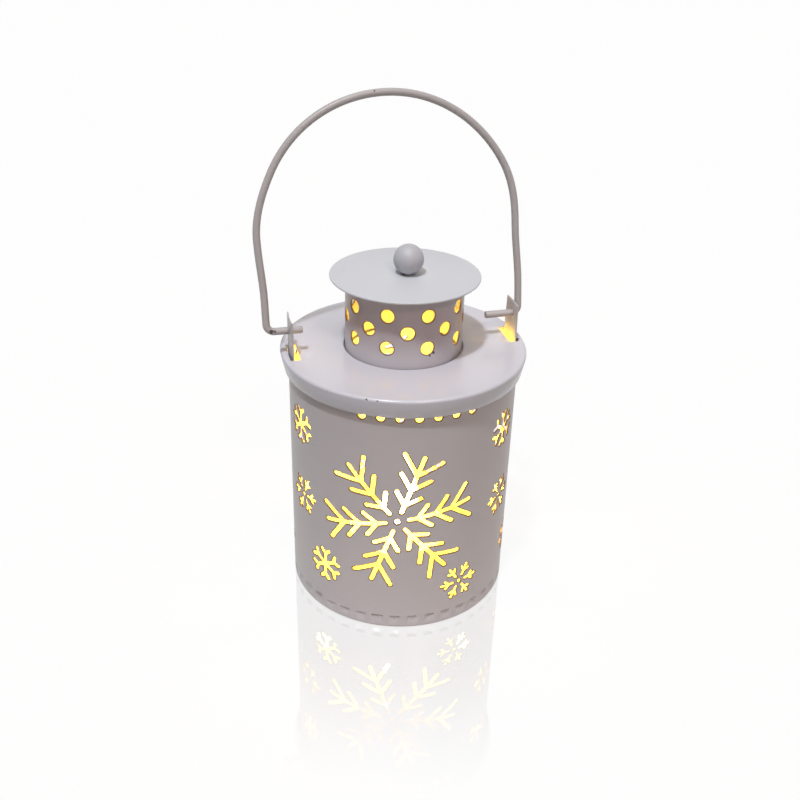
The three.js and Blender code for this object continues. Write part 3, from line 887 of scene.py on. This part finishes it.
cap_middle = (CAP_UNDER + CAP_TOP) / 2
rim_x = CAP_RADIUS - RIM_ROUND
cap_profile = [
    (0, CAP_UNDER),
    (rim_x, CAP_UNDER),
    *arc(rim_x, cap_middle, RIM_ROUND, -math.pi / 2, math.pi / 2, RIM_STEPS)[1:-1],
    (rim_x, CAP_TOP),
    (0, CAP_TOP),
]
cap = spun("cap_pressed", cap_profile, steps=160, closed=False)
cut_out(cap, added(
    "cutter", bpy.ops.mesh.primitive_cylinder_add, vertices=40, radius=SCREW_HOLE * MM, depth=DRILL_LENGTH,
    location=KNOB_ASIDE + Vector((0, 0, cap_middle * MM))))
# Lighter and bluer than the wall's colour: painted light from above on the cap.
cap_paint = paint("cap_paint", colour=(0.618, 0.632, 0.668), roughness=0.38)
finished(cap, "chimney", ["cap_disc"], cap_paint)

# %% Knob
KNOB_RADIUS, KNOB_FLAT, BORE_TOP = 5.15, 119.6, 125.4
KNOB_FLAT_WIDTH = 0.2
BALL_STEPS = 36

ball_start = -math.acos((SCREW_HOLE + KNOB_FLAT_WIDTH) / KNOB_RADIUS)
ball_middle = KNOB_FLAT - KNOB_RADIUS * math.sin(ball_start)
knob_profile = [
    (0, BORE_TOP),
    (SCREW_HOLE, BORE_TOP),
    (SCREW_HOLE, KNOB_FLAT),
    *arc(0, ball_middle, KNOB_RADIUS, ball_start, math.pi / 2, BALL_STEPS),
]
knob = spun("ball_knob", knob_profile, steps=72, closed=False)
knob.location = KNOB_ASIDE
# Darker than the other paint: painted shade on the knob.
knob_paint = paint("knob_paint", colour=(0.500, 0.498, 0.535), roughness=0.45)
finished(knob, "chimney", ["knob_ball"], knob_paint)

# %% [markdown]
# ## Handle
# The handle is one round wire: a short end through each ear, a tight bend, a straight leg, and a half-round
# arch. A curve with a round bevel would do, but a ring of points that is extruded along the straights and
# spun round the bends is the same shape by hand, with exact bends. It is drawn upright first.

# %% Handle
WIRE_RADIUS, WIRE_POINTS = 1.25 * MM, 24
HANDLE_HALF = 44.45 * MM
WIRE_END = 32.35 * MM
BEND, BEND_STEPS = 2.6 * MM, 10
LEG_TOP, LEG_STEPS = 31.1 * MM, 8
ARCH_STEPS = 72


def ring(name, points, radius, place, turn=(0, 0, 0)):
    """The first ring of a wire or a string, picked in edit mode."""
    settings = {"vertices": points, "radius": radius, "location": place, "rotation": turn}
    obj = added(name, bpy.ops.mesh.primitive_circle_add, **settings)
    settle(obj)
    bpy.ops.object.mode_set(mode="EDIT")
    bpy.ops.mesh.select_mode(type="EDGE")
    bpy.ops.mesh.select_all(action="SELECT")
    return obj


def run(x, z, steps=1):
    """A straight length from the ring that is picked, in one or more steps."""
    for _ in range(steps):
        bpy.ops.mesh.extrude_edges_move(TRANSFORM_OT_translate={"value": (x / steps, 0, z / steps)})


def bend_round(x, z, angle, steps):
    """A round length about a point of the handle's plane; the spin operator takes its angle backwards."""
    bpy.ops.mesh.spin(steps=steps, angle=-angle, center=(x, 0, z), axis=(0, 1, 0))


def close_ends(obj):
    """Fills the open rings at both ends of a wire."""
    pick(obj, "EDGE", lambda edge, place: edge.is_boundary)
    bpy.ops.mesh.edge_face_add()
    bpy.ops.mesh.select_all(action="SELECT")
    bpy.ops.mesh.normals_make_consistent(inside=False)
    leave_edit()


handle = ring("wire_handle", WIRE_POINTS, WIRE_RADIUS, (-WIRE_END, 0, 0), turn=(0, math.pi / 2, 0))
run(WIRE_END - HANDLE_HALF + BEND, 0)
bend_round(BEND - HANDLE_HALF, BEND, math.pi / 2, BEND_STEPS)
run(0, LEG_TOP - BEND, LEG_STEPS)
bend_round(0, LEG_TOP, math.pi, ARCH_STEPS)
run(0, BEND - LEG_TOP, LEG_STEPS)
bend_round(HANDLE_HALF - BEND, BEND, math.pi / 2, BEND_STEPS)
run(WIRE_END - HANDLE_HALF + BEND, 0)
bpy.ops.mesh.select_all(action="SELECT")
bpy.ops.mesh.remove_doubles(threshold=MERGE)
close_ends(handle)
print("handle reaches", round(max(v.co.z for v in handle.data.vertices) / MM, 2), "mm up")

# %% [markdown]
# ### A hand-bent arch
# The real wire is bent by hand and bows a little to one side, most where the legs run into the arch. Rings
# of the wire are picked there and slid aside with proportional editing, which carries their neighbours
# along. Its reach leaves the lower legs straight, so that they pass the raised lid. The handle is then
# leaned back and slid until a leg meets its ear, as in the photograph.

# %% Handle bowed and set in place
BOWS = [(0, -1.15 * MM, 21 * MM), (45, -0.55 * MM, 40 * MM), (90, -0.3 * MM, 40 * MM)]
RING_SLACK = 1.01
END_ROUND, END_BAND = 0.3 * MM, 2 * MM
HANDLE_LEAN = math.radians(-12)
HANDLE_SLIDE = -2.9 * MM
HANDLE_CHIPS = [(-45.9, -1.17, 102.2, 0.75), (-44.7, -1.15, 102.2, 0.45), (-8.0, 14.75, 176.2, 0.4)]

for degrees, aside, reach in BOWS:
    x = HANDLE_HALF * math.cos(math.radians(degrees))
    z = HANDLE_HALF * math.sin(math.radians(degrees)) + LEG_TOP
    pick(handle, "VERT", lambda point, place: (
        math.hypot(abs(place.x) - x, place.z - z) < WIRE_RADIUS * RING_SLACK))
    bpy.ops.transform.translate(
        value=(aside, 0, 0), use_proportional_edit=True, proportional_size=reach,
        proportional_edit_falloff="SMOOTH")
pick(handle, "EDGE", lambda edge, place: (
    place.z < END_BAND and all(abs(point.co.x) < WIRE_END + NEAR for point in edge.verts)))
bpy.ops.mesh.bevel(offset=END_ROUND, segments=3)
leave_edit()
handle.rotation_euler.x = HANDLE_LEAN
handle.location = (HANDLE_SLIDE, 0, AXIS_HEIGHT)
# Darker than the other paint: painted shade on the thin wire.
handle_paint = paint("handle_paint", colour=(0.450, 0.420, 0.415), roughness=0.40, chips=HANDLE_CHIPS)
finished(handle, "handle", ["handle_wire"], handle_paint)

# %% [markdown]
# ## Tealight
# A tealight gives the light seen through the cut-outs: a thin pressed cup with a curled lip, white wax with
# a melted pool, a wick in its metal foot, and a flame. Cup, wax and foot are spun. The lip is drawn into the
# cup's profile. Bare metal gets a drawn-out grain and duller patches.

# %% Tealight cup
CUP_BEND, LIP_CURL = 0.8, 0.38
GRAIN_DEPTH = 0.05 * MM
cup_profile = [
    (0, 0.9), (13.5, 0.9), (14.0, 1.25), (15.2, 1.25), (15.7, 0.9), (17.6, 0.9),
    *arc(17.6, 1.7, CUP_BEND, -math.pi / 2, 0, 5)[1:],
    (18.35, 15.1),
    *arc(18.37, 15.5, LIP_CURL, -math.pi / 2, math.pi, 10)[1:],
    (18.0, 15.1), (17.95, 1.9), (17.3, 1.25), (0, 1.25),
]


def bare_metal(name, grain, patches, bright, dull, roughness, relief):
    """Metal with a grain (scale, stretch), dull patches (scale, low, high) and roughness (least, added)."""
    finish = new_finish(name)
    drawn_out = finish.node("Mapping", None, {"Vector": finish.place(), "Scale": (1, 1, grain[1])})
    lines = finish.node("TexNoise", None, {"Vector": drawn_out, "Scale": grain[0]})
    dulled = finish.ramp(finish.noise(patches[0], 3.0), *patches[1:])
    return finish.coat({
        "Base Color": finish.tint(dulled, bright, dull),
        "Metallic": 1.0,
        "Roughness": roughness[0] + dulled * roughness[1],
        "Normal": finish.bump(lines, relief, GRAIN_DEPTH),
    })


cup = spun("tealight_cup_pressed", cup_profile, steps=96, closed=False)
foil = bare_metal(
    "tealight_foil", grain=(1800, 0.06), patches=(160, 0.35, 0.75), bright=(0.86, 0.86, 0.87),
    dull=(0.74, 0.74, 0.75), roughness=(0.24, 0.12), relief=0.15)
finished(cup, "tealight", ["tealight_cup"], foil)

# %% [markdown]
# ### Wax
# Burning melts a clear pool in the white wax, which climbs a little at the cup and at the wick. The profile
# draws that climb, and a ragged circle of other colour and gloss shows where the wax is molten.

# %% Wax
POOL_TOP, POOL_EDGE, POOL_INSIDE, POOL_RAGGED = 13.5 * MM, 12.2 * MM, 11.0 * MM, 2.0 * MM
SET_WAX, MOLTEN_WAX = (0.88, 0.82, 0.66), (0.78, 0.66, 0.42)
WAX_DEPTHS = (2.0 * MM, 1.4 * MM, 0.9 * MM)
wax_profile = [
    (1.1, 2.5), (6.3, 2.5), (6.3, 1.7), (17.0, 1.7), (17.85, 2.3), (17.85, 14.35), (17.3, 14.05),
    (16.4, 13.95), (13.4, 13.9), (12.2, 13.78), (11.3, 13.5), (9.5, 13.42), (4.0, 13.42), (2.2, 13.5),
    (1.4, 13.75), (1.1, 14.2),
]

wax = spun("tealight_wax_poured", wax_profile, steps=72)
poured = new_finish("wax")
away = poured.distance((0, 0, POOL_TOP)) + (poured.noise(220) - NOISE_MIDDLE) * POOL_RAGGED
molten = poured.ramp(away, POOL_EDGE, POOL_INSIDE)
bloom = poured.noise(420, 4.0)
wax_finish = poured.coat({
    "Base Color": poured.tint(molten, SET_WAX, MOLTEN_WAX),
    "Roughness": 0.48 - molten * 0.40,
    "Subsurface Weight": 0.25,
    "Subsurface Radius": WAX_DEPTHS,
    "Normal": poured.bump(bloom * (1 - molten), 0.12, 0.2 * MM),
})
finished(wax, "tealight", ["tealight_wax"], wax_finish)

# %% [markdown]
# ### Wick and its foot
# The wick is a braided cotton string, stiff with wax, charred at the end and bent over by burning. A ring of
# points is extruded upwards, a little more aside and narrower at each step, and closed at both ends. The
# foot is a stamped disc with a small sleeve that grips the string.

# %% Wick foot
WICK_FOOT_PROFILE = [
    (0.85, 1.7), (5.7, 1.7), (6.0, 1.85), (6.0, 2.05), (5.7, 2.2), (1.05, 2.2), (0.95, 2.4), (0.85, 2.4),
]

wick_foot = spun("wick_foot_stamped", WICK_FOOT_PROFILE, steps=48)
plated_steel = bare_metal(
    "plated_steel", grain=(900, 12), patches=(300, 0.4, 0.7), bright=(0.72, 0.72, 0.73),
    dull=(0.58, 0.57, 0.55), roughness=(0.28, 0.15), relief=0.12)
finished(wick_foot, "tealight", ["wick_foot"], plated_steel)

# %% Wick
WICK_RADIUS, WICK_POINTS = 0.72 * MM, 14
WICK_FOOT, WICK_STRAIGHT = 2.55 * MM, 13.0 * MM
WICK_MOVES = [(0.02, 1.6), (0.06, 1.2), (0.14, 1.0), (0.22, 0.9), (0.30, 0.8), (0.34, 0.7)]
WICK_TAPER = 0.93
CHAR_START, CHAR_END, CHAR_RAGGED = 14.4 * MM, 16.6 * MM, 1.5 * MM
COTTON, CHAR = (0.62, 0.53, 0.40), (0.018, 0.014, 0.012)

wick = ring("wick_braided", WICK_POINTS, WICK_RADIUS, (0, 0, WICK_FOOT))
run(0, WICK_STRAIGHT - WICK_FOOT)
for sideways, up in WICK_MOVES:
    run(sideways * MM, up * MM)
    bpy.ops.transform.resize(value=(WICK_TAPER, WICK_TAPER, 1))
close_ends(wick)
soft_edges(wick, width=0.15 * MM)
string = new_finish("wick_cotton")
burnt_height = string.height() + (string.noise(900) - NOISE_MIDDLE) * CHAR_RAGGED
burnt = string.ramp(burnt_height, CHAR_START, CHAR_END)
braid = string.node(
    "TexWave", {"bands_direction": "DIAGONAL"}, {"Vector": string.place(), "Scale": 700, "Distortion": 1.5})
wick_cotton = string.coat({
    "Base Color": string.tint(burnt, COTTON, CHAR),
    "Roughness": 0.7 + burnt * 0.25,
    "Normal": string.bump(braid, 0.5, 0.15 * MM),
})
finished(wick, "tealight", ["wick"], wick_cotton)

# %% [markdown]
# ### Flame
# The lantern is lit in the photograph, so the tealight carries a flame: a spun drop, pale at its heart,
# amber at its tip and blue at its foot. It casts no shadow, so the lamp inside it can light the lantern.

# %% Flame
FLAME_FOOT, FLAME_TIP = 17.4, 50.4
FLAME_GLOW = 6.0
FLAME_STOPS = [
    (0.0, (0.35, 0.25, 0.9)), (0.12, (1.0, 0.62, 0.18)), (0.42, (1.0, 0.90, 0.62)), (1.0, (1.0, 0.62, 0.2)),
]
flame_profile = [
    (0, FLAME_FOOT), (2.2, 17.8), (4.2, 19.2), (6.0, 22.0), (7.2, 25.6), (7.5, 29.4), (7.1, 33.4),
    (6.0, 37.6), (4.4, 41.8), (2.7, 45.6), (1.2, 48.6), (0, FLAME_TIP),
]

flame = spun("flame", flame_profile, steps=32, closed=False)
apply_modifier(flame, "SUBSURF", levels=1, render_levels=1)
glow = new_finish("flame")
rise = glow.ramp(glow.height(), FLAME_FOOT * MM, FLAME_TIP * MM)
flame_glow = glow.coat({
    "Base Color": (1.0, 0.8, 0.4, 1),
    "Roughness": 0.9 - rise * 0.1,
    "Emission Color": glow.node("ValToRGB", {"stops": FLAME_STOPS}, {"Fac": rise}),
    "Emission Strength": FLAME_GLOW,
})
finished(flame, "tealight", [], flame_glow)
flame.visible_shadow = False

# %% [markdown]
# ## Knob screw
# A pan-head screw goes up through the cap into the knob, and shows only from below, when the chimney is out.
# The CAD solid is a plain stepped bar, so here it gets a domed head with a driver slot, cut by a thin box.

# %% Knob screw
SCREW_RADIUS, SCREW_HEAD, SCREW_TIP = 1.5, 2.8, 125.1
HEAD_TOP, HEAD_FOOT = 118.2, 116.2
DRIVER_SLOT = Vector((8, 0.8, 1.6)) * MM
screw_profile = [
    (0, HEAD_FOOT), (1.4, HEAD_FOOT + 0.05), (2.2, HEAD_FOOT + 0.35), (2.65, HEAD_FOOT + 0.9),
    (SCREW_HEAD, HEAD_FOOT + 1.5), (SCREW_HEAD, HEAD_TOP), (SCREW_RADIUS, HEAD_TOP),
    (SCREW_RADIUS, SCREW_TIP - 0.6), (1.0, SCREW_TIP), (0, SCREW_TIP),
]

screw = spun("knob_screw_slotted", screw_profile, steps=40, closed=False)
cut_out(screw, block(DRIVER_SLOT, (0, 0, HEAD_FOOT * MM)))
screw.location = KNOB_ASIDE
finished(screw, "chimney", ["knob_screw"], plated_steel)

# %% [markdown]
# ## Floor
# The lantern stands on a white sheet that mirrors it faintly close by. A plain white floor would turn grey
# under soft light, so what is seen of it is mostly white by its own glow, with a little real shading left to
# keep the shadow. What it throws back at the lantern is a duller white.

# %% Floor
FLOOR_HALF = 30.0
FLOOR_SHOWN = (0.93, 0.93, 0.93)
FLOOR_BOUNCE = (0.45, 0.44, 0.43)
WHITE = (1, 1, 1, 1)
OWN_WHITE = 0.9
MIRROR_SHARE, MIRROR_ROUGHNESS = 0.24, 0.02
MIRROR_FAR, MIRROR_NEAR = 118 * MM, 50 * MM


def shown_rays(finish):
    """1 for what the camera sees, straight or in a reflection."""
    names = ("Is Camera Ray", "Is Glossy Ray", "Is Transmission Ray")
    camera_ray, glossy_ray, clear_ray = (finish.node("LightPath", out=name) for name in names)
    return camera_ray.largest(glossy_ray).largest(clear_ray)


floor = added("floor", bpy.ops.mesh.primitive_plane_add, size=2 * FLOOR_HALF)
sheet = new_finish("floor_white")
shown = shown_rays(sheet)
lit = sheet.node("BsdfDiffuse", None, {"Color": sheet.tint(shown, FLOOR_BOUNCE, FLOOR_SHOWN)})
white = sheet.node("Emission", None, {"Color": WHITE, "Strength": 1.0})
paper = sheet.node("MixShader", None, {0: shown * OWN_WHITE, 1: lit, 2: white})
near = sheet.ramp(sheet.distance((0, 0, 0)), MIRROR_FAR, MIRROR_NEAR)
mirror = sheet.node("BsdfGlossy", None, {"Color": WHITE, "Roughness": MIRROR_ROUGHNESS})
both = sheet.node("MixShader", None, {0: near * MIRROR_SHARE, 1: paper, 2: mirror})
sheet.node("OutputMaterial", None, {"Surface": both})
floor.data.materials.append(sheet.owner)
print("floor", 2 * FLOOR_HALF, "m wide")

# %% [markdown]
# ## Lamps
# Three suns stand for the studio: a key light from above, a little left and front, that gives the shadows
# under cap and lid; a broad warm ceiling light; and a weak warm light from the front. One lamp in the flame
# would leave most snowflakes dark, so warm lamps also stand inside near the wall, one behind each large
# snowflake and a weaker one opposite it.

# %% Lamps
LAMPS = [
    ("key_light", Vector((-0.25, -0.32, 1.0)), 1.90, math.radians(4), (0.83, 0.90, 1.0)),
    ("ceiling_light", Vector((0.0, -0.1, 1.0)), 1.05, math.radians(50), (1.0, 0.91, 0.78)),
    ("front_light", Vector((0.12, -0.74, 0.66)), 0.60, math.radians(8), (1.0, 0.77, 0.66)),
]
CANDLE_COLOUR = (1.0, 0.66, 0.048)
CANDLE_SIZE = 4 * MM
FLAME_LAMP_HEIGHT, FLAME_WATTS = 42, 0.055
GLOW_RADIUS, GLOW_HEIGHT = 31, 28
GLOW_WATTS, OPPOSITE_WATTS = 0.12, 0.035

candles = [("flame_light", Vector((0, 0, FLAME_LAMP_HEIGHT)) * MM, FLAME_WATTS)]
for repeat in range(PATTERN_REPEATS):
    third = FRONT_HEADING + repeat * math.tau / PATTERN_REPEATS
    for heading, watts in ((third, GLOW_WATTS), (third + math.pi, OPPOSITE_WATTS)):
        place = Vector((GLOW_RADIUS * math.sin(heading), -GLOW_RADIUS * math.cos(heading), GLOW_HEIGHT)) * MM
        candles.append(("inner_glow", place, watts))


def new_lamp(kind, name, strength, colour, place=(0, 0, 0)):
    bpy.ops.object.light_add(type=kind, location=place)
    lamp = bpy.context.object
    lamp.name = name
    lamp.data.energy = strength
    lamp.data.color = colour
    return lamp


for name, direction, strength, angle, colour in LAMPS:
    lamp = new_lamp("SUN", name, strength, colour)
    lamp.rotation_euler = direction.to_track_quat("Z", "Y").to_euler()
    lamp.data.angle = angle
for name, place, watts in candles:
    lamp = new_lamp("POINT", name, watts, CANDLE_COLOUR, place)
    lamp.visible_camera = False
    lamp.data.shadow_soft_size = CANDLE_SIZE
print(len(LAMPS), "studio lamps and", len(candles), "warm lamps inside")

# %% [markdown]
# ## Background
# The photograph's background is pure white. As a light, that would wash out every shadow, so the camera and
# reflections see white, and the rays that light the lantern see a world that is almost dark.

# %% World
WORLD_STRENGTH = 0.03
WORLD_COLOUR = (1.0, 0.79, 0.73)

world = bpy.data.worlds.new("white_room")
bpy.context.scene.world = world
room = Finish(world)
fill = room.node("Background", None, {"Color": (*WORLD_COLOUR, 1), "Strength": WORLD_STRENGTH})
backdrop = room.node("Background", None, {"Color": WHITE, "Strength": 1.0})
seen = room.node("MixShader", None, {0: shown_rays(room), 1: fill, 2: backdrop})
room.node("OutputWorld", None, {"Surface": seen})
print("world strength", WORLD_STRENGTH)
